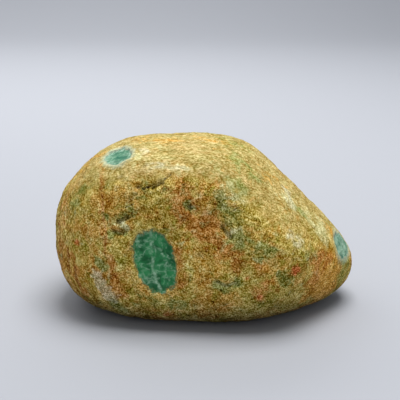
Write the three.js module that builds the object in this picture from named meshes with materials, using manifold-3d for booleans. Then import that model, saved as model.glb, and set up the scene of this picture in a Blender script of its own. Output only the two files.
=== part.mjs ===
// Raw jade boulder: one river-worn stone, sitting on the flat under it, with three windows ground
// through its skin. Millimetres, +Z up, +X toward the low nose, -Y the broad front face.
// The origin is on the floor, in the middle of the bounding box.
import * as THREE from "three";
import { mergeVertices } from "three/addons/utils/BufferGeometryUtils.js";
import Module from "manifold-3d";

// The stone's middle is this high over the flat it sits on.
const MIDDLE_HEIGHT = 40;

// How tightly the worn faces turn into one another: higher is a crisper edge.
const EDGE_SHARPNESS = 10;

// The faces the river wore. Each is [azimuth, elevation, distance]: the way the face looks, in
// degrees from the front turning toward the nose and up from level, and how far out it lies.
const WORN_FACES = {
  crown: [150, 88, 52.2],
  crownBack: [180, 50, 60],
  crownLeft: [-95, 55, 67.5],
  leftShoulder: [-95, 24, 90],
  leftEnd: [-93, -6, 82],
  leftFoot: [-93, -38, 86],
  leftFront: [-48, 8, 74],
  front: [-6, 4, 52],
  frontCrest: [-20, 52, 68],
  rightSlope: [66, 46, 54.1],
  rightSlopeBack: [108, 42, 56],
  nose: [97, -24, 98],
  noseFoot: [94, -50, 98],
  noseFront: [50, -8, 72],
  back: [178, 5, 52],
  backLeft: [-132, 10, 74],
  backRight: [132, -5, 74],
  foot: [0, -90, 41.5],
  underNose: [88, -74, 57],
  underLeft: [-90, -72, 61],
  frontFoot: [-5, -42, 56],
  backFoot: [180, -45, 57],
  frontLeftFoot: [-50, -36, 73],
  frontRightFoot: [38, -42, 67],
};

// Broad swells and hollows left between the faces, each [azimuth, elevation, width in degrees,
// height]; a hollow has a height below zero.
const SWELLS = {
  frontHollow: [10, 24, 15, -1.6],
  frontSwell: [8, -6, 20, 1.4],
  leftSwell: [-72, -14, 22, 1.6],
  shoulderHollow: [-44, 20, 12, -1.4],
  backSwell: [160, 14, 26, 2],
  backHollow: [-150, -14, 18, -1.8],
  crownHollow: [60, 66, 16, -1.2],
  shoulderSwell: [-100, 32, 20, 1.2],
  noseSwell: [84, -25, 18, 3],
};

// The windows: flats ground through the skin, each an oval of width by height, leaning by tilt
// degrees in its own plane. Place and facing are [azimuth, elevation] in degrees.
const WINDOW_DEPTH = 0.8;
const WINDOWS = {
  front: { place: [-26, 0], facing: [-8, 3], width: 20.5, height: 33, tilt: 14 },
  shoulder: { place: [-69, 45], facing: [-71, 70], width: 22, height: 14, tilt: -4 },
  nose: { place: [81, -3], facing: [68, 30], width: 18, height: 14, tilt: 0 },
};

// Squares along each side of the cube the stone is pushed out from, and sides of a window's oval.
const GRID = 24;
const OVAL_SIDES = 32;

// The blocks that are cut away reach this far past the stone.
const CLEARANCE = 30;
const CUT_WIDTH = 300;

// Corners closer than this are one corner.
const MERGE_DISTANCE = 1e-4;

const { degToRad } = THREE.MathUtils;

// The unit vector that looks the given way.
function heading([azimuth, elevation]) {
  const a = degToRad(azimuth);
  const e = degToRad(elevation);
  return new THREE.Vector3(
    Math.sin(a) * Math.cos(e),
    -Math.cos(a) * Math.cos(e),
    Math.sin(e),
  );
}

// How far the surface lies from the stone's middle along a unit vector.
function reach(direction) {
  let sum = 0;
  for (const [azimuth, elevation, distance] of Object.values(WORN_FACES)) {
    const lean = direction.dot(heading([azimuth, elevation]));
    sum += Math.max(0, lean / distance) ** EDGE_SHARPNESS;
  }
  let radius = sum ** (-1 / EDGE_SHARPNESS);
  for (const [azimuth, elevation, width, height] of Object.values(SWELLS)) {
    const spread = 2 * (1 - direction.dot(heading([azimuth, elevation])));
    radius += height * Math.exp(-spread / degToRad(width) ** 2);
  }
  return radius;
}

// The whole stone before anything is ground off it, about its own middle.
function wornStone() {
  const cube = new THREE.BoxGeometry(2, 2, 2, GRID, GRID, GRID);
  cube.deleteAttribute("normal");
  cube.deleteAttribute("uv");
  const stone = mergeVertices(cube, MERGE_DISTANCE);
  const corners = stone.attributes.position;
  const direction = new THREE.Vector3();
  for (let i = 0; i < corners.count; i += 1) {
    direction.fromBufferAttribute(corners, i);
    // Spreads the grid evenly over the ball.
    direction.set(
      Math.tan((direction.x * Math.PI) / 4),
      Math.tan((direction.y * Math.PI) / 4),
      Math.tan((direction.z * Math.PI) / 4),
    );
    direction.normalize();
    direction.multiplyScalar(reach(direction));
    corners.setXYZ(i, direction.x, direction.y, direction.z);
  }
  return stone;
}

// The oval plug that grinds one window: its near end is the window's flat.
function windowPlug({ place, facing, width, height, tilt }) {
  const plug = new THREE.CylinderGeometry(0.5, 0.5, CLEARANCE, OVAL_SIDES);
  plug.scale(width, 1, height);
  plug.translate(0, CLEARANCE / 2, 0);
  plug.rotateY(degToRad(tilt));
  // The plug's axis turns from +Y to the way the window faces, its height staying upright.
  const out = heading(facing);
  const across = new THREE.Vector3(0, 0, 1).cross(out).normalize();
  const up = new THREE.Vector3().crossVectors(out, across);
  const turn = new THREE.Matrix4().makeBasis(across, out, up.negate());
  const seat = heading(place);
  seat.multiplyScalar(reach(seat));
  seat.addScaledVector(out, -WINDOW_DEPTH);
  turn.setPosition(seat);
  return plug.applyMatrix4(turn);
}

const wasm = await Module();
wasm.setup();

// A three.js geometry as a manifold-3d solid.
function solidOf(geometry) {
  const bare = geometry.clone();
  bare.deleteAttribute("normal");
  bare.deleteAttribute("uv");
  const merged = mergeVertices(bare, MERGE_DISTANCE);
  const mesh = new wasm.Mesh({
    numProp: 3,
    vertProperties: merged.attributes.position.array,
    triVerts: new Uint32Array(merged.index.array),
  });
  return new wasm.Manifold(mesh);
}

// A manifold-3d solid as a three.js geometry.
function geometryOf(solid) {
  const mesh = solid.getMesh();
  const geometry = new THREE.BufferGeometry();
  geometry.setAttribute("position", new THREE.BufferAttribute(mesh.vertProperties, 3));
  geometry.setIndex(new THREE.BufferAttribute(mesh.triVerts, 1));
  geometry.computeVertexNormals();
  return geometry;
}

let boulder = solidOf(wornStone());

// The flat the stone sits on is where this block is cut away.
const underside = new THREE.BoxGeometry(CUT_WIDTH, CUT_WIDTH, CLEARANCE);
underside.translate(0, 0, -MIDDLE_HEIGHT - CLEARANCE / 2);
boulder = boulder.subtract(solidOf(underside));

for (const spec of Object.values(WINDOWS)) {
  boulder = boulder.subtract(solidOf(windowPlug(spec)));
}

// Moved so that the origin is on the floor, in the middle of the box.
const shape = geometryOf(boulder);
shape.computeBoundingBox();
const box = shape.boundingBox;
shape.translate(
  -(box.min.x + box.max.x) / 2,
  -(box.min.y + box.max.y) / 2,
  -box.min.z,
);

const skin = new THREE.MeshStandardMaterial({
  color: 0xa8874a,
  roughness: 0.75,
  metalness: 0,
});
const mesh = new THREE.Mesh(shape, skin);
mesh.name = "boulder";

const group = new THREE.Group();
group.name = "raw_jade_boulder";
group.add(mesh);

export default group;
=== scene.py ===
"""A raw jade boulder on a pale studio sweep: a river-worn stone with a sandy ochre skin, rust and
green stains, a few cracks, and three windows ground down to waxy green jade.

Sizes are millimetres until a mesh is written, and places on the stone are directions from its
middle: azimuth in degrees from the front (-Y) turning toward the nose (+X), and elevation.

Scratch programs calculated most of the directions on the photo's side, from spots picked on
the photo, and rewrote some of them later."""

import math

import bpy
import numpy as np
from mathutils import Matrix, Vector, noise
from mathutils.bvhtree import BVHTree


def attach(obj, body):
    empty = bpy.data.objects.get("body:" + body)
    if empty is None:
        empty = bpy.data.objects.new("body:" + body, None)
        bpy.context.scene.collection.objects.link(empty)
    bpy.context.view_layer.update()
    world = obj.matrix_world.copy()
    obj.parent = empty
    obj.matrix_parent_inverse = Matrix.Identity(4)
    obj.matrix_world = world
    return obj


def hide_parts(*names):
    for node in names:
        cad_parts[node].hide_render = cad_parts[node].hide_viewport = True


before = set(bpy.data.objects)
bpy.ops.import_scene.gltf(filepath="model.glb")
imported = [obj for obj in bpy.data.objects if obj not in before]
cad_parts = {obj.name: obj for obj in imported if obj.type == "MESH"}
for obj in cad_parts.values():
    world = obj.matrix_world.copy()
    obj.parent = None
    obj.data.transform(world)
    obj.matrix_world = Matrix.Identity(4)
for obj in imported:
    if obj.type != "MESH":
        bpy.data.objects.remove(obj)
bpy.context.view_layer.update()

MM = 0.001

# ---------------------------------------------------------------- the stone's design

# The point in the stone that directions are measured from, as in the CAD solid.
MIDDLE = np.array([-2.2, 1.0, 40.0])

# Squares along each side of the cube that the fine mesh is spread from.
GRID = 128

# The bare border round each square of the UV sheet, as a part of the square.
SHEET_MARGIN = 0.006

# Rounds of smoothing that take the solid's facets out of the fine mesh.
SMOOTHING = 70

# The skin's relief: each kind's size in millimetres, octaves of noise, and height in millimetres.
RELIEF = {
    "lumps": (34, 3, 0.6),
    "dents": (11, 3, 0.42),
    "bites": (4.2, 3, 0.25),
    "grains": (1.5, 2, 0.10),
}
PIT_DEPTH = 0.5
CUT_DEPTH = 1.2

# The ground windows, as cut in the CAD solid, with how teal the jade in each one is, and how dark
# the teal turns toward its core.
WINDOW_DEPTH = 0.8
WINDOWS = {
    "front": dict(place=(-26, 0), facing=(-8, 3), width=20.5, height=33, tilt=14, teal=0.0, core=0.0),
    "shoulder": dict(place=(-69, 45), facing=(-71, 70), width=22, height=14, tilt=-4, teal=1.0, core=0.9),
    "nose": dict(place=(81, -3), facing=(68, 30), width=18, height=14, tilt=0, teal=1.0, core=0.1),
}

# A window's outline: 2 is an oval, and more is nearer a box with round corners.
WINDOW_SQUARENESS = 2.3

# How far a window's edge wavers, and how far from its flat's plane a window can reach. Anywhere
# past that reach is taken to be far outside it.
WINDOW_WAVER = 0.6
WINDOW_REACH = 12
OUTSIDE = 30.0

# Marks in the skin. Each is a stain or a cut, and a few stains are painted shade or painted highlight, as
# noted: the directions it runs through, its half-width in millimetres and its strength.
MARKS = {
    "rust": [
        ([(-64, 37), (-55, 31), (-52, 23), (-50, 14), (-48, 6)], 1.6, 0.5),
        ([(-13, 34), (-7, 26), (2, 22), (9, 14)], 6.5, 1.3),
        ([(13, 7), (18, 2)], 6.0, 0.8),
        ([(29, -4), (31, -11)], 5.0, 0.8),
        ([(-63, -2), (-61, -8), (-62, -17)], 3.0, 0.8),
        ([(-73, 12), (-73, -10)], 8.0, 0.5),
        ([(-45, -2), (-44, -9), (-43, -16)], 4.0, 0.8),
        ([(-13, 7), (-12, -3), (-11, -12)], 2.5, 0.7),
        ([(66, -3), (58, -7), (55, -12)], 5.0, 0.8),
        ([(54, 0), (60, -3)], 3.5, 1.0),
        ([(9, 41), (9, 35), (8, 28)], 2.5, 0.7),
        ([(150, 20), (165, 5), (170, -10)], 9.0, 0.8),
        ([(-120, 30), (-110, 10)], 6.0, 0.7),
        ([(120, 40), (110, 20)], 7.0, 0.6),
    ],
    "red": [
        ([(43, -3)], 2.5, 1.3),
        ([(-61, 5)], 2.6, 0.55),
        ([(29, -16)], 1.6, 0.6),
        ([(22, -6)], 1.8, 0.7),
        ([(-22, -31)], 2.6, 0.6),
        ([(140, -10)], 3.0, 0.8),
        ([(-160, 25)], 2.5, 0.8),
    ],
    "amber": [
        ([(-86, 26), (-88, 31), (-92, 36)], 6.0, 0.55),
        ([(-97, 58), (-76, 68), (-76, 79)], 6.0, 0.45),
        ([(125, 86), (92, 72)], 6.0, 0.4),
        ([(60, 43), (64, 36)], 6.0, 0.4),
        ([(-9, 12), (-8, 8)], 3.0, 0.8),
        ([(60, -10), (68, -19), (65, -11)], 9.0, 1.7),
        ([(31, -1), (32, -6)], 4.0, 0.9),
        ([(77, 5)], 4.0, 0.8),
        ([(-170, 40), (170, 30)], 10.0, 0.7),
        ([(-140, -5), (-130, -20)], 9.0, 0.7),
    ],
    "green": [
        ([(-47, 17), (-43, 18), (-39, 24)], 3.2, 0.6),
        # Painted shade: this olive band stands for the shade along the fissure at the gouge's edge.
        ([(-49, 19), (-48, 15), (-46, 12), (-41, 13)], 2.0, 1.0),
        ([(-10, 32), (-6, 29)], 2.2, 0.8),
        ([(-33, 33), (-19, 35)], 6.0, 0.4),
        ([(11, 31), (15, 26), (19, 21)], 5.0, 0.65),
        ([(19, 15), (26, 11), (31, 7)], 4.5, 0.9),
        ([(11, 17), (15, 14)], 3.0, 0.8),
        ([(37, -4), (40, -9)], 3.5, 0.9),
        ([(39, 59), (38, 50), (46, 45)], 6.0, 0.6),
        ([(11, 35), (16, 38), (22, 39)], 5.0, 0.75),
        ([(12, 30), (15, 26)], 3.0, 0.9),
        ([(113, 72), (90, 70)], 7.0, 0.55),
        ([(10, 31), (13, 37)], 4.0, 0.7),
        ([(-47, -22), (-43, -27)], 3.5, 0.8),
        ([(-33, -18), (-29, -21)], 4.0, 0.7),
        ([(-16, -24), (-10, -25)], 3.0, 0.7),
        ([(9, -10), (13, -12), (18, -9)], 2.6, 1.0),
        ([(50, 3), (55, 2)], 4.0, 0.7),
        ([(-50, -1), (-48, -4)], 3.0, 0.7),
        ([(-68, 19), (-64, 25)], 4.0, 0.6),
        ([(63, 20), (65, 17)], 2.4, 0.9),
        ([(76, -5), (80, -10), (78, -14)], 4.5, 0.85),
        ([(175, 60), (160, 50)], 8.0, 0.8),
        ([(-150, 10), (-160, -5)], 7.0, 0.8),
        ([(120, 0), (125, -15)], 6.0, 0.8),
    ],
    "white": [
        ([(-51, -9), (-49, -13), (-47, -18)], 3.6, 1.3),
        ([(-38, 46), (-25, 47), (-14, 48)], 2.6, 0.45),
        ([(-60, 54), (-49, 53)], 3.0, 0.6),
        ([(68, 31), (61, 24)], 3.2, 0.75),
        ([(44, 12), (46, 8)], 3.2, 0.7),
        ([(160, 10), (170, 2)], 4.0, 0.7),
    ],
    "pale": [
        ([(64, 29), (61, 25)], 4.0, 0.7),
        ([(66, 13)], 3.5, 0.8),
        ([(72, 9), (68, 4)], 5.0, 0.9),
        ([(69, 16)], 5.0, 0.6),
        ([(46, 9), (48, 4)], 5.0, 0.5),
        ([(-27, 48), (-12, 47)], 2.6, 0.45),
        # Painted highlight: this thin pale line stands for the lit facet under the crack.
        ([(-26, 37), (-29, 35)], 1.0, 0.45),
        ([(-56, 51), (-50, 49)], 2.4, 0.9),
        ([(15, 37), (18, 32)], 5.0, 0.45),
        # Painted highlight: the next two pale spots stand for the lit lower lip of the gouge.
        ([(-47, 18), (-44, 16)], 1.3, 0.8),
        ([(-42, 17), (-40, 16)], 1.4, 1.2),
        ([(14, 17), (20, 19)], 1.3, 0.9),
        ([(-130, 45), (-140, 35)], 6.0, 0.7),
        ([(150, -20), (160, -25)], 6.0, 0.7),
    ],
}
CUTS = [
    ([(-20, 44), (-24, 40)], 0.6, 0.5),
    ([(-25, 39), (-29, 37)], 1.2, 1.3),
    ([(-37, 35)], 1.3, 0.9),
    ([(-37, 32), (-40, 27)], 0.8, 0.7),
    ([(-48, 37), (-49, 34)], 0.6, 0.5),
    ([(-47, 37), (-48, 35)], 0.6, 0.4),
    ([(-49, 19), (-48, 15)], 1.2, 0.6),
    ([(-44, 18), (-40, 21)], 1.7, 1.2),
    ([(-45, 13), (-40, 14)], 2.0, 0.8),
    ([(-7, 30)], 1.8, 0.9),
    ([(8, -9), (12, -11), (17, -9)], 1.4, 0.8),
    ([(11, 20), (15, 15)], 1.6, 0.9),
    ([(-12, 23), (-7, 26), (-2, 28)], 0.8, 0.5),
    ([(160, 45), (172, 30), (168, 22)], 1.2, 1.1),
    ([(-145, 30), (-150, 20)], 1.6, 1.0),
]

# Lines too fine for the mesh, drawn in the skin: the directions each runs through and its
# half-width in millimetres. Cracks are painted dark for the shade inside them, seams are rusty, and veins
# are pale in the jade.
HAIRLINES = {
    "crack": [
        ([(-20, 44), (-24, 40), (-27, 38)], 0.5),
        ([(-24, 39.5), (-29, 37)], 1.4),
        ([(-28, 37.5), (-34, 35)], 0.7),
        ([(-41, 25), (-37, 28)], 0.35),
        ([(-39, 21), (-37, 25)], 0.5),
        ([(-49, 19), (-48, 16)], 0.35),
        ([(-12, 23), (-7, 26), (-2, 28)], 0.35),
        ([(8, -10), (12, -12), (17, -10)], 0.35),
        ([(14, 27), (21, 29)], 0.3),
    ],
    "seam": [
        ([(-67, 37), (-57, 32), (-52, 25), (-50, 17), (-48, 11), (-48, 2)], 0.7),
        ([(-66, 0), (-66, -9)], 1.6),
        ([(-62, -6), (-62, -16)], 1.4),
    ],
    "vein": [
        ([(-28, 17), (-28, 4), (-27, -2), (-26, -9), (-22, -16)], 1.2),
        ([(-35, 10), (-28, 12)], 0.7),
        ([(-34, -3), (-27, -1)], 0.6),
        ([(-27, 4), (-15, 3)], 0.6),
        ([(-26, -8), (-15, -6)], 0.7),
        ([(-33, -10), (-27, -7)], 0.6),
    ],
}

# The skin's grain: sizes of speckle in millimetres, and how far each one lightens and darkens the
# colour, as a part of the way from black to white as the eye sees it.
GRAIN = [(0.75, 0.23), (1.6, 0.08), (4.0, 0.065), (9.0, 0.065)]
EYE_GAMMA = 2.2

# How far the slope's streaks and grain lean, and the saw marks in the teal jade, in degrees.
SLOPE_LEAN = 42
SAW_LEAN = -66

# The skin's colours, as linear red, green and blue.
OCHRE = (0.52, 0.285, 0.040)
YELLOW = (0.475, 0.350, 0.060)
TAN = (0.46, 0.20, 0.025)
OLIVE = (0.28, 0.255, 0.016)
STRAW = (0.62, 0.50, 0.15)
SLOPE_YELLOW = (0.56, 0.425, 0.095)
BLEACHED = ((0.375, 0.295, 0.10), (0.43, 0.375, 0.16))
STREAK_BROWN = (0.40, 0.22, 0.04)
SEAM_RUST = (0.33, 0.12, 0.025)
# Painted shade for the cracks and cuts.
PAINTED_CRACK_SHADE = (0.075, 0.055, 0.012)

# The stains: each one's colour, and the most it can cover.
STAINS = {
    "amber": ((0.66, 0.33, 0.045), 0.85),
    "rust": ((0.46, 0.175, 0.025), 0.85),
    "green": ((0.22, 0.25, 0.05), 0.85),
    "pale": ((0.56, 0.52, 0.23), 0.85),
    "red": ((0.72, 0.19, 0.055), 0.85),
    "white": ((0.66, 0.62, 0.42), 0.5),
}

# These stains keep to their spots. The others also turn up faintly all over.
LOCAL_STAINS = ("red", "white")

# The jade's colours. Deep and teal jade each cloud between two shades.
DEEP_JADE = ((0.012, 0.105, 0.032), (0.035, 0.27, 0.085))
TEAL_JADE = ((0.06, 0.18, 0.11), (0.28, 0.42, 0.30))
SAWN_TEAL = (0.022, 0.10, 0.055)
CORE_TEAL = (0.02, 0.14, 0.08)
HAZE_GREEN = (0.15, 0.44, 0.22)

# The veins' colours and the window fringe's, each in deep jade and in teal jade.
VEINS = ((0.40, 0.64, 0.42), (0.56, 0.73, 0.60))
FRINGES = ((0.58, 0.54, 0.25), (0.50, 0.61, 0.44))

# How rough the skin and the jade are, and the jade's thin coat of wax.
SKIN_ROUGHNESS = 0.85
JADE_ROUGHNESS = 0.45
JADE_COAT = 0.12
COAT_ROUGHNESS = 0.25

# The height of the grain's bumps in metres, and how much of them the jade loses.
BUMP_HEIGHT = 0.0003
JADE_POLISH = 0.93


# ---------------------------------------------------------------- shape

def heading(azimuth, elevation):
    """The unit vector that looks the given way."""
    a, e = math.radians(azimuth), math.radians(elevation)
    return np.array([math.sin(a) * math.cos(e), -math.cos(a) * math.cos(e), math.sin(e)])


def smooth(low, high, value):
    """0 below low, 1 above high, and a soft step between."""
    t = np.clip((value - low) / (high - low), 0, 1)
    return t * t * (3 - 2 * t)


def ball(grid):
    """Unit directions spread over a ball from a cube's gridded sides, the quads that join them, and
    a place in a 3 by 2 sheet of squares for each corner of each quad."""
    row, col = np.meshgrid(np.arange(grid + 1), np.arange(grid + 1), indexing="ij")
    places, quads, sheet = [], [], []
    first = (np.arange(grid)[:, None] * (grid + 1) + np.arange(grid)).ravel()
    for side in range(6):
        axis, far = side % 3, side // 3
        spot = np.zeros((grid + 1, grid + 1, 3), int)
        spot[..., axis] = far * grid
        spot[..., (axis + 1) % 3] = row
        spot[..., (axis + 2) % 3] = col
        places.append(spot.reshape(-1, 3))
        ring = [first, first + grid + 1, first + grid + 2, first + 1]
        if not far:
            ring.reverse()
        quads.append(np.stack(ring, 1) + side * (grid + 1) ** 2)
        used = 1 - 2 * SHEET_MARGIN
        u = (axis + SHEET_MARGIN + used * row.ravel() / grid) / 3
        v = (far + SHEET_MARGIN + used * col.ravel() / grid) / 2
        sheet.append(np.stack([u, v], 1))
    places, quads, sheet = map(np.concatenate, (places, quads, sheet))
    unique, one = np.unique(places, axis=0, return_inverse=True)
    way = np.tan((unique * 2 / grid - 1) * math.pi / 4)
    way /= np.linalg.norm(way, axis=1, keepdims=True)
    return way, one.reshape(-1)[quads], sheet[quads]


def reach(tree, directions):
    """Where a ray from the stone's middle along each direction leaves a surface."""
    start = Vector(MIDDLE)
    return np.array([tree.ray_cast(start, Vector(d))[0] for d in directions])


def neighbours(quads):
    """The mesh's edges, as two lists of corners."""
    pairs = np.concatenate([quads[:, [i, (i + 1) % 4]] for i in range(4)])
    pairs = np.unique(np.sort(pairs, axis=1), axis=0)
    return pairs[:, 0], pairs[:, 1]


def relax(values, edges, rounds):
    """Values averaged with their neighbours', again and again."""
    a, b = edges
    count = np.bincount(np.concatenate(edges), minlength=len(values))[:, None]
    for _ in range(rounds):
        total = np.stack(
            [
                np.bincount(a, column[b], len(values)) + np.bincount(b, column[a], len(values))
                for column in values.T
            ],
            1,
        )
        values = 0.5 * values + 0.5 * total / count
    return values


def normals(points, quads):
    """The surface's outward normal at each corner."""
    p = points[quads]
    face = np.cross(p[:, 2] - p[:, 0], p[:, 3] - p[:, 1])
    total = np.stack(
        [
            sum(np.bincount(quads[:, i], face[:, k], len(points)) for i in range(4))
            for k in range(3)
        ],
        1,
    )
    return total / np.linalg.norm(total, axis=1, keepdims=True)


def ripple(points, size, octaves, seed):
    """Smooth noise from about -1 to 1, with lumps of the given size."""
    shift = Vector((seed * 17.3, seed * 5.1, seed * 11.7))
    return np.array(
        [noise.fractal(Vector(p) + shift, 1.0, 2.0, octaves) for p in points / size]
    )


def distance_to(points, path):
    """Each point's distance from a line through the path's points."""
    ends = list(zip(path, path[1:])) or [(path[0], path[0])]
    nearest = np.full(len(points), np.inf)
    for a, b in ends:
        along = b - a
        length = max(along @ along, 1e-9)
        t = np.clip((points - a) @ along / length, 0, 1)
        gap = np.linalg.norm(points - a - t[:, None] * along, axis=1)
        nearest = np.minimum(nearest, gap)
    return nearest


def stroke(points, tree, directions, width, strength, waver):
    """How much of a mark lies at each point: strength along its middle, fading over its edge."""
    path = reach(tree, [heading(*d) for d in directions])
    gap = distance_to(points, list(path)) / width + waver
    return strength * (1 - smooth(0.1, 2.0, gap))


def all_strokes(points, tree, strokes, waver):
    """The strongest of some strokes at each point."""
    field = np.zeros(len(points))
    for directions, width, strength in strokes:
        spot = stroke(points, tree, directions, width, strength, waver)
        field = np.maximum(field, spot)
    return field


def window_gap(points, centre, out, spec, waver):
    """Signed distance from a window's edge, below zero inside it."""
    across = np.cross([0, 0, 1], out)
    across /= np.linalg.norm(across)
    up = np.cross(out, across)
    rel = points - centre
    lean = math.radians(spec["tilt"])
    x = rel @ across
    y = rel @ up
    wide = (x * math.cos(lean) + y * math.sin(lean)) / (spec["width"] / 2)
    tall = (y * math.cos(lean) - x * math.sin(lean)) / (spec["height"] / 2)
    power = WINDOW_SQUARENESS
    radius = (np.abs(wide) ** power + np.abs(tall) ** power) ** (1 / power)
    edge = (radius - 1) * min(spec["width"], spec["height"]) / 2
    far = np.where(np.abs(rel @ out) > WINDOW_REACH, OUTSIDE, 0.0)
    return edge + WINDOW_WAVER * waver + far


def smooth_stone(cad):
    """The CAD solid as a fine mesh without its facets: points, quads, and the quads' UV places."""
    cad_points = [v.co / MM for v in cad.data.vertices]
    cad_tree = BVHTree.FromPolygons(cad_points, [list(p.vertices) for p in cad.data.polygons])
    ways, quads, sheet = ball(GRID)
    points = reach(cad_tree, ways)
    edges = neighbours(quads)
    softened = relax(points, edges, SMOOTHING)
    # What smoothing shrank is put back, without the facets.
    points = softened + relax(points - softened, edges, SMOOTHING)
    return points, quads, sheet


def relief(points):
    """How far lumps, dents, grain and small pits lift the skin, and each kind's own noise."""
    kinds = {}
    rise = np.zeros(len(points))
    for seed, (name, (size, octaves, height)) in enumerate(RELIEF.items(), 1):
        kinds[name] = ripple(points, size, octaves, seed)
        rise += height * kinds[name]
    pits = smooth(0.35, 0.75, ripple(points, 2.6, 2, 5)) * smooth(-0.1, 0.4, kinds["dents"])
    return rise - PIT_DEPTH * pits, kinds


def carve_cuts(points, tree, rise):
    """The skin's rise with the cuts taken out of it, and how much of a crack lies at each point."""
    waver = ripple(points, 3.0, 3, 6)
    cracks = np.zeros(len(points))
    for directions, width, depth in CUTS:
        cut = stroke(points, tree, directions, width, 1.0, 0.5 * waver)
        rise = rise - CUT_DEPTH * depth * cut
        cracks = np.maximum(cracks, cut * min(1.0, depth))
    return rise, cracks


def grind_windows(points, tree, skin_points, kinds):
    """The skin ground flat inside each window, and the fields that say where the windows are."""
    window = np.full(len(points), OUTSIDE)
    teal = np.zeros(len(points))
    core = np.zeros(len(points))
    ragged = ripple(points, 3.4, 3, 8)
    polish = 0.05 * kinds["bites"] + 0.04 * kinds["dents"]
    for spec in WINDOWS.values():
        out = heading(*spec["facing"])
        centre = reach(tree, [heading(*spec["place"])])[0] - out * WINDOW_DEPTH
        edge = window_gap(points, centre, out, spec, ragged)
        over = (skin_points - centre) @ out
        flat = 1 - smooth(-0.5, 0.9, edge)
        skin_points = skin_points - out * (np.maximum(over - polish, 0) * flat)[:, None]
        teal = np.where(edge < window, spec["teal"], teal)
        core = np.where(edge < window, spec["core"] * smooth(1.0, 6.5, -edge), core)
        window = np.minimum(window, edge)
    return skin_points, {"window": window, "teal": teal, "core": core}


def hairline_paths(tree):
    """The points each hairline runs through on the stone, with its half-width."""
    return {
        kind: [([reach(tree, [heading(*d)])[0] for d in path], width) for path, width in paths]
        for kind, paths in HAIRLINES.items()
    }


def make_stone(cad):
    """The fine mesh, with its marks as attributes, and the paths of its hairlines."""
    points, quads, sheet = smooth_stone(cad)
    facing = normals(points, quads)
    tree = BVHTree.FromPolygons([Vector(p) for p in points], quads.tolist())
    rise, kinds = relief(points)
    rise, cracks = carve_cuts(points, tree, rise)
    fields = {"crack": cracks}
    wander = 0.8 * ripple(points, 6.5, 4, 7)
    for name, strokes in MARKS.items():
        fields[name] = all_strokes(points, tree, strokes, wander)
    skin_points = points + facing * rise[:, None]
    skin_points, window_fields = grind_windows(points, tree, skin_points, kinds)
    fields.update(window_fields)

    # Nothing goes below the floor, and the flat underneath stays flat.
    skin_points[:, 2] = np.where(points[:, 2] < 0.25, 0.0, np.maximum(skin_points[:, 2], 0.0))
    return (skin_points, quads, sheet, facing, fields), hairline_paths(tree)


def write_mesh(name, points, quads, sheet, facing, fields):
    """A Blender object from the fine mesh."""
    mesh = bpy.data.meshes.new(name)
    mesh.from_pydata((points * MM).tolist(), [], quads.tolist())
    mesh.polygons.foreach_set("use_smooth", np.ones(len(quads), bool))
    layer = mesh.uv_layers.new(name="OFBake")
    layer.data.foreach_set("uv", sheet.astype(np.float32).ravel())
    for field, values in fields.items():
        attribute = mesh.attributes.new(field, "FLOAT", "POINT")
        attribute.data.foreach_set("value", values.astype(np.float32))
    attribute = mesh.attributes.new("facing", "FLOAT_VECTOR", "POINT")
    attribute.data.foreach_set("vector", facing.astype(np.float32).ravel())
    mesh.update()
    made = bpy.data.objects.new(name, mesh)
    bpy.context.scene.collection.objects.link(made)
    return made


# ---------------------------------------------------------------- materials

class Shader:
    """Short calls for building one material's nodes."""

    def __init__(self, name):
        self.material = bpy.data.materials.new(name)
        self.material.use_nodes = True
        self.tree = self.material.node_tree
        self.tree.nodes.clear()

    def add(self, kind, inputs=None, **settings):
        node = self.tree.nodes.new("ShaderNode" + kind)
        for key, value in settings.items():
            setattr(node, key, value)
        for key, value in (inputs or {}).items():
            if isinstance(value, bpy.types.NodeSocket):
                self.tree.links.new(value, node.inputs[key])
            else:
                node.inputs[key].default_value = value
        return node

    def field(self, name):
        return self.add("Attribute", attribute_name=name).outputs["Fac"]

    def math(self, operation, a, b=0.0, c=0.0, clamp=False):
        node = self.add("Math", {0: a, 1: b, 2: c}, operation=operation, use_clamp=clamp)
        return node.outputs[0]

    def step(self, value, low, high, start=0.0, end=1.0):
        """Maps low..high onto start..end with a soft step."""
        inputs = {0: value, 1: low, 2: high, 3: start, 4: end}
        return self.add("MapRange", inputs, interpolation_type="SMOOTHSTEP").outputs[0]

    def mix(self, amount, a, b, blend="MIX"):
        def colour(c):
            return c if isinstance(c, bpy.types.NodeSocket) else (*c, 1.0)

        inputs = {0: amount, 6: colour(a), 7: colour(b)}
        return self.add("Mix", inputs, data_type="RGBA", blend_type=blend).outputs[2]

    def noise(self, vector, size, detail=2.0, roughness=0.5, seed=0.0):
        """Noise about 0.5, with lumps of the given size. Each seed gives its own pattern."""
        inputs = {
            "Vector": vector,
            "W": seed,
            "Scale": 1 / size,
            "Detail": detail,
            "Roughness": roughness,
        }
        return self.add("TexNoise", inputs, noise_dimensions="4D").outputs[0]

    def stretch(self, vector, x, y, z):
        """A vector with its parts scaled, which lengthens a pattern where the scale is small."""
        inputs = {0: vector, 1: (x, y, z)}
        return self.add("VectorMath", inputs, operation="MULTIPLY").outputs[0]


def warped(s, place, size, reach_mm):
    """Places moved about by noise, so that patterns on them bend."""
    inputs = {"Vector": place, "Scale": 1 / size, "Detail": 3.0}
    cloud = s.add("TexNoise", inputs).outputs["Color"]
    middle = s.add("VectorMath", {0: cloud, 1: (0.5,) * 3}, operation="SUBTRACT").outputs[0]
    shift = s.add("VectorMath", {0: middle, 1: (reach_mm,) * 3}, operation="MULTIPLY").outputs[0]
    return s.add("VectorMath", {0: place, 1: shift}, operation="ADD").outputs[0]


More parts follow.
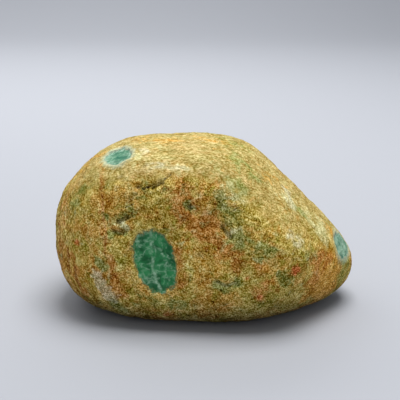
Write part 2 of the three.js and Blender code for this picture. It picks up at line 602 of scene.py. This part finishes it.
def hairline(s, place, lines):
    """How near each place is to any of the lines: 1 along their middles, 0 past their edges."""
    near = 0.0
    for path, width in lines:
        for a, b in zip(path, path[1:]):
            along = Vector(b - a)
            start = {0: place, 1: Vector(a)}
            rel = s.add("VectorMath", start, operation="SUBTRACT").outputs[0]
            share = {0: rel, 1: along / along.length_squared}
            share = s.add("VectorMath", share, operation="DOT_PRODUCT").outputs["Value"]
            share = s.math("ADD", share, 0.0, clamp=True)
            foot = {0: tuple(along), "Scale": share}
            foot = s.add("VectorMath", foot, operation="SCALE").outputs[0]
            gap = s.add("VectorMath", {0: rel, 1: foot}, operation="DISTANCE").outputs["Value"]
            near = s.math("MAXIMUM", near, s.step(gap, 0.2 * width, 1.3 * width, 1, 0))
    return near


def streaks(s, bent, turn, lengths, size, seed, axis="Y_AXIS"):
    """Noise drawn out into streaks, along a line turned about an axis by some degrees."""
    turned = s.add(
        "VectorRotate", {"Vector": bent, "Angle": math.radians(turn)}, rotation_type=axis
    ).outputs[0]
    return s.noise(s.stretch(turned, *lengths), size, 3, 0.65, seed)


def flowing(s, place, zones, size, seed):
    """Noise that is drawn out along the top, down the slope and up the left end."""
    top, slope, left = zones
    pattern = streaks(s, place, 0, (1.0, 1.0, 1.0), size, seed)
    for zone, turn, lengths in [
        (left, 0, (1.1, 1.1, 0.6)),
        (slope, SLOPE_LEAN, (0.4, 1.0, 1.2)),
        (top, 0, (0.6, 0.9, 1.2)),
    ]:
        drawn = streaks(s, place, turn, lengths, size, seed + 0.5)
        pattern = s.add("Mix", {0: zone, 2: pattern, 3: drawn}, data_type="FLOAT").outputs[0]
    return pattern


def zones_of(s, facing):
    """How far each place belongs to the top, to the slope and to the left end."""
    right, up = facing["X"], facing["Z"]
    top = s.step(up, 0.35, 0.8)
    slope = s.math("MULTIPLY", s.step(right, 0.15, 0.5), s.step(up, 0.2, 0.5))
    left = s.step(right, -0.45, -0.85)
    return top, slope, left


def mottled_ground(s, bent, zones):
    """The skin's ground, in patches from 20 mm across down to 4 mm."""
    top, slope, left = zones
    broad = s.noise(bent, 20, 4, 0.55, 1)
    ground = s.mix(s.step(broad, 0.42, 0.58), OCHRE, YELLOW)
    tan = s.noise(bent, 9, 4, 0.6, 2)
    ground = s.mix(s.step(tan, 0.48, 0.62, 0, 0.6), ground, TAN)
    olive = s.noise(bent, 7, 4, 0.6, 3)
    olive = s.math("MULTIPLY", s.step(olive, 0.50, 0.62), s.math("MULTIPLY_ADD", left, -0.3, 0.65))
    ground = s.mix(olive, ground, OLIVE)
    straw = s.noise(bent, 4, 4, 0.6, 4)
    ground = s.mix(s.step(straw, 0.50, 0.64, 0, 0.5), ground, STRAW)
    # The slope is paler, and the top is bleached.
    ground = s.mix(s.math("MULTIPLY", slope, 0.55), ground, SLOPE_YELLOW)
    bleach = s.mix(s.noise(bent, 12, 4, 0.6, 5), *BLEACHED)
    return s.mix(s.math("MULTIPLY", top, 0.7), ground, bleach)


def brown_streaks(s, bent, zones, colour):
    """A colour with thin brown streaks over it. They lie along the top, run down the slope to the
    nose, and stand upright at the other end."""
    top, slope, left = zones
    along = streaks(s, bent, 0, (0.14, 0.5, 1.2), 2.2, 6)
    down = streaks(s, bent, SLOPE_LEAN, (0.16, 0.8, 1.2), 2.2, 7)
    upright = streaks(s, bent, 0, (0.9, 0.9, 0.14), 2.4, 8)
    drawn = s.math("MULTIPLY", s.step(along, 0.50, 0.62, 0, 0.3), top)
    drawn = s.math("MAXIMUM", drawn, s.math("MULTIPLY", s.step(down, 0.50, 0.60, 0, 0.4), slope))
    drawn = s.math("MAXIMUM", drawn, s.math("MULTIPLY", s.step(upright, 0.49, 0.58, 0, 0.4), left))
    return s.mix(drawn, colour, STREAK_BROWN)


def stained(s, bent, colour):
    """A colour with the stains over it, each broken up by the grain it lies in."""
    for seed, (name, (tint, most)) in enumerate(STAINS.items()):
        breaks = s.noise(bent, 5, 4, 0.65, 10 + seed)
        ragged = s.math("MULTIPLY_ADD", breaks, 4.5, -2.45)
        spread = s.math("MULTIPLY_ADD", s.field(name), 1.5, ragged)
        amount = s.step(spread, 0.0, 1.3, 0, most)
        if name in LOCAL_STAINS:
            amount = s.math("MULTIPLY", amount, s.step(s.field(name), 0.0, 0.5))
        colour = s.mix(amount, colour, tint)
    return colour


def grained(s, place, zones, up, colour):
    """A colour with sandy grain of every size over it, and the height of that grain."""
    # The top is worn smoother.
    calm = s.step(up, 0.35, 0.8, 1.0, 0.62)
    grain, height = 0.0, 0.0
    for seed, (size, swing) in enumerate(GRAIN):
        band = flowing(s, place, zones, size, 30 + seed)
        speckle = s.math("MULTIPLY", s.step(band, 0.36, 0.64, -swing, swing), calm)
        grain = s.math("ADD", grain, speckle)
        height = s.math("MULTIPLY_ADD", band, 0.6 * size ** 0.6, height)
    seen = s.add("Gamma", {"Color": colour, "Gamma": 1 / EYE_GAMMA}).outputs[0]
    tone = s.add("CombineColor", {0: grain, 1: grain, 2: grain}).outputs[0]
    seen = s.add(
        "Mix", {0: 1.0, 6: seen, 7: tone}, data_type="RGBA", blend_type="ADD", clamp_result=True
    ).outputs[2]
    return s.add("Gamma", {"Color": seen, "Gamma": EYE_GAMMA}).outputs[0], height


def skin_colour(s, place, facing, lines):
    """The weathered skin's colour, with painted shade under the stone and in its cracks, and the height
    of its grain.
    """
    bent = warped(s, place, 14, 10)
    up = facing["Z"]
    zones = zones_of(s, facing)
    colour = mottled_ground(s, bent, zones)
    colour = brown_streaks(s, bent, zones, colour)
    colour = stained(s, bent, colour)

    wobble = warped(s, place, 2.5, 1.6)
    seam = s.math("MULTIPLY", hairline(s, wobble, lines["seam"]), 0.6)
    colour = s.mix(seam, colour, SEAM_RUST)

    # Painted shade: the colour is darkened on faces that turn down, under the stone.
    low = s.step(up, -0.8, -0.1, 0.35, 1.0)
    painted_underside_shade = s.add("CombineColor", {0: low, 1: low, 2: low}).outputs[0]
    colour = s.mix(1.0, colour, painted_underside_shade, "MULTIPLY")

    # Painted shade: the cracks and cuts are darkened toward a dark brown, for the shade inside them.
    cracks = hairline(s, wobble, lines["crack"])
    crack_shade = s.math("MAXIMUM", s.step(s.field("crack"), 0.45, 0.9, 0, 0.7), cracks)
    colour = s.mix(s.math("MULTIPLY", crack_shade, 0.88), colour, PAINTED_CRACK_SHADE)

    colour, height = grained(s, place, zones, up, colour)
    return colour, s.math("MULTIPLY_ADD", cracks, -0.7, height)


def jade_colour(s, place, lines):
    """Waxy jade with wisps of pale vein: deep green, or greyer teal where the skin is thin."""
    bent = warped(s, place, 6, 4)
    cloud = s.noise(bent, 5, 4, 0.6, 30)
    deep = s.mix(s.step(cloud, 0.34, 0.66), *DEEP_JADE)
    pale = s.mix(s.step(cloud, 0.38, 0.62), *TEAL_JADE)
    sawn = streaks(s, place, SAW_LEAN, (0.22, 1.4, 1.0), 2.0, 9, "Z_AXIS")
    pale = s.mix(s.step(sawn, 0.46, 0.58, 0, 0.6), pale, SAWN_TEAL)
    pale = s.mix(s.field("core"), pale, CORE_TEAL)
    body = s.mix(s.field("teal"), deep, pale)
    wisps, haze = 0.0, 0.0
    for seed, lengths in enumerate([(1.5, 1.5, 0.5), (0.5, 0.5, 1.5), (1.1, 1.1, 1.1)]):
        middle = s.noise(s.stretch(bent, *lengths), 8, 2.5, 0.5, 40 + seed)
        away = s.math("ABSOLUTE", s.math("SUBTRACT", middle, 0.5))
        fade = s.step(s.noise(bent, 3.5, 3, 0.6, 50 + seed), 0.42, 0.60)
        wisps = s.math("MAXIMUM", wisps, s.math("MULTIPLY", s.step(away, 0.0, 0.03, 1, 0), fade))
        haze = s.math("MAXIMUM", haze, s.math("MULTIPLY", s.step(away, 0.0, 0.12, 1, 0), fade))
    threads = hairline(s, warped(s, place, 4, 5), lines["vein"])
    broken = s.step(s.noise(place, 2.0, 3, 0.7, 60), 0.38, 0.56, 0.4, 1.0)
    wisps = s.math("MAXIMUM", s.math("MULTIPLY", wisps, 0.7), threads)
    wisps = s.math("MULTIPLY", wisps, broken)
    body = s.mix(s.math("MULTIPLY", haze, 0.3), body, HAZE_GREEN)
    vein = s.mix(s.field("teal"), *VEINS)
    wisps = s.math("MULTIPLY", wisps, s.math("MULTIPLY_ADD", s.field("core"), -0.7, 0.85))
    return s.mix(wisps, body, vein)


def stone_material(lines):
    """The stone's one material: skin, with jade where a window is open."""
    s = Shader("boulder_skin")
    metres = s.add("TexCoord").outputs["Object"]
    place = s.add("VectorMath", {0: metres, 1: (1 / MM,) * 3}, operation="MULTIPLY").outputs[0]
    facing = s.add("Attribute", attribute_name="facing").outputs["Vector"]
    facing = s.add("SeparateXYZ", {0: facing}).outputs

    skin, grit = skin_colour(s, place, facing, lines)
    jade = jade_colour(s, place, lines)

    # The window's edge is ragged at the scale of the grain, with a pale fringe that is wider on
    # teal jade.
    frays = s.noise(place, 2.6, 5, 0.75)
    edge = s.math("ADD", s.field("window"), s.math("MULTIPLY_ADD", frays, 6.0, -3.0))
    open_jade = s.step(edge, -0.2, 0.15, 1, 0)
    reach_out = s.math("MULTIPLY_ADD", s.field("teal"), 2.4, 1.2)
    thin = s.math("MULTIPLY", s.step(edge, -0.9, 0.0), s.step(edge, 0.0, reach_out, 1, 0))
    rim = s.math("MULTIPLY", thin, s.math("MULTIPLY_ADD", s.field("teal"), 0.4, 0.3))
    colour = s.mix(open_jade, skin, jade)
    fringe = s.mix(s.field("teal"), *FRINGES)
    colour = s.mix(rim, colour, fringe)

    ends = {0: open_jade, 2: SKIN_ROUGHNESS, 3: JADE_ROUGHNESS}
    rough = s.add("Mix", ends, data_type="FLOAT").outputs[0]
    coat = s.math("MULTIPLY", open_jade, JADE_COAT)
    keep = s.math("MULTIPLY_ADD", open_jade, -JADE_POLISH, 1.0)
    rise = s.math("MULTIPLY", grit, keep)
    bump = s.add("Bump", {"Strength": 1.0, "Distance": BUMP_HEIGHT, "Height": rise})
    shader = s.add(
        "BsdfPrincipled",
        {
            "Base Color": colour,
            "Roughness": rough,
            "Coat Weight": coat,
            "Coat Roughness": COAT_ROUGHNESS,
            "Normal": bump.outputs[0],
            "Specular IOR Level": 0.05,
        },
    )
    s.add("OutputMaterial", {"Surface": shader.outputs[0]})
    return s.material


# ---------------------------------------------------------------- the studio

def sweep():
    """A pale floor that curves up into a wall behind the stone."""
    half, near, bend, radius, top = 3.5, -2.0, 1.1, 0.9, 3.0
    line = [(near, 0.0), (bend, 0.0)]
    for i in range(1, 17):
        a = math.radians(90 * i / 16)
        line.append((bend + radius * math.sin(a), radius - radius * math.cos(a)))
    line.append((bend + radius, top))
    corners = [(x, y, z) for y, z in line for x in (-half, half)]
    faces = [(2 * i, 2 * i + 1, 2 * i + 3, 2 * i + 2) for i in range(len(line) - 1)]
    mesh = bpy.data.meshes.new("studio_sweep")
    mesh.from_pydata(corners, [], faces)
    mesh.polygons.foreach_set("use_smooth", [True] * len(faces))
    made = bpy.data.objects.new("studio_sweep", mesh)
    bpy.context.scene.collection.objects.link(made)
    s = Shader("sweep_paper")
    shader = s.add("BsdfPrincipled", {"Base Color": (0.43, 0.443, 0.478, 1), "Roughness": 0.9})
    s.add("OutputMaterial", {"Surface": shader.outputs[0]})
    mesh.materials.append(s.material)


def area_light(name, place, target, size, power):
    """A rectangular light that looks at a target."""
    lamp = bpy.data.lights.new(name, "AREA")
    lamp.shape = "RECTANGLE"
    lamp.size, lamp.size_y = size
    lamp.energy = power
    made = bpy.data.objects.new(name, lamp)
    made.location = place
    made.rotation_euler = (Vector(target) - Vector(place)).to_track_quat("-Z", "Y").to_euler()
    bpy.context.scene.collection.objects.link(made)


def studio():
    """The sweep, its two lights and the fill from all round."""
    sweep()
    area_light("overhead_softbox", (0.15, -0.05, 1.1), (0.1, -0.05, 0), (0.7, 0.6), 12.5)
    area_light("background_light", (-0.4, 0.7, 0.75), (-0.42, 0.85, 0), (1.3, 0.6), 7.9)
    world = bpy.data.worlds.new("studio_fill")
    world.use_nodes = True
    world.node_tree.nodes["Background"].inputs["Color"].default_value = (0.9, 0.94, 1.0, 1)
    world.node_tree.nodes["Background"].inputs["Strength"].default_value = 0.38
    bpy.context.scene.world = world
    bpy.context.scene.view_settings.view_transform = "Standard"


def camera():
    """An 85 mm lens, a little above the stone and level with its front."""
    elevation, distance = math.radians(17), 0.515
    target = Vector((-0.0033, 0.0, 0.058))
    back = Vector((0, -math.cos(elevation), math.sin(elevation)))
    lens = bpy.data.cameras.new("camera")
    lens.lens = 85
    lens.sensor_width = 36
    lens.clip_end = 20
    made = bpy.data.objects.new("camera", lens)
    made.location = target + back * distance
    made.rotation_euler = (-back).to_track_quat("-Z", "Y").to_euler()
    bpy.context.scene.collection.objects.link(made)
    bpy.context.scene.camera = made


camera()
studio()
surface, hairlines = make_stone(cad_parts["boulder"])
stone = write_mesh("raw_jade_boulder", *surface)
stone.data.materials.append(stone_material(hairlines))
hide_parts("boulder")
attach(stone, "root")
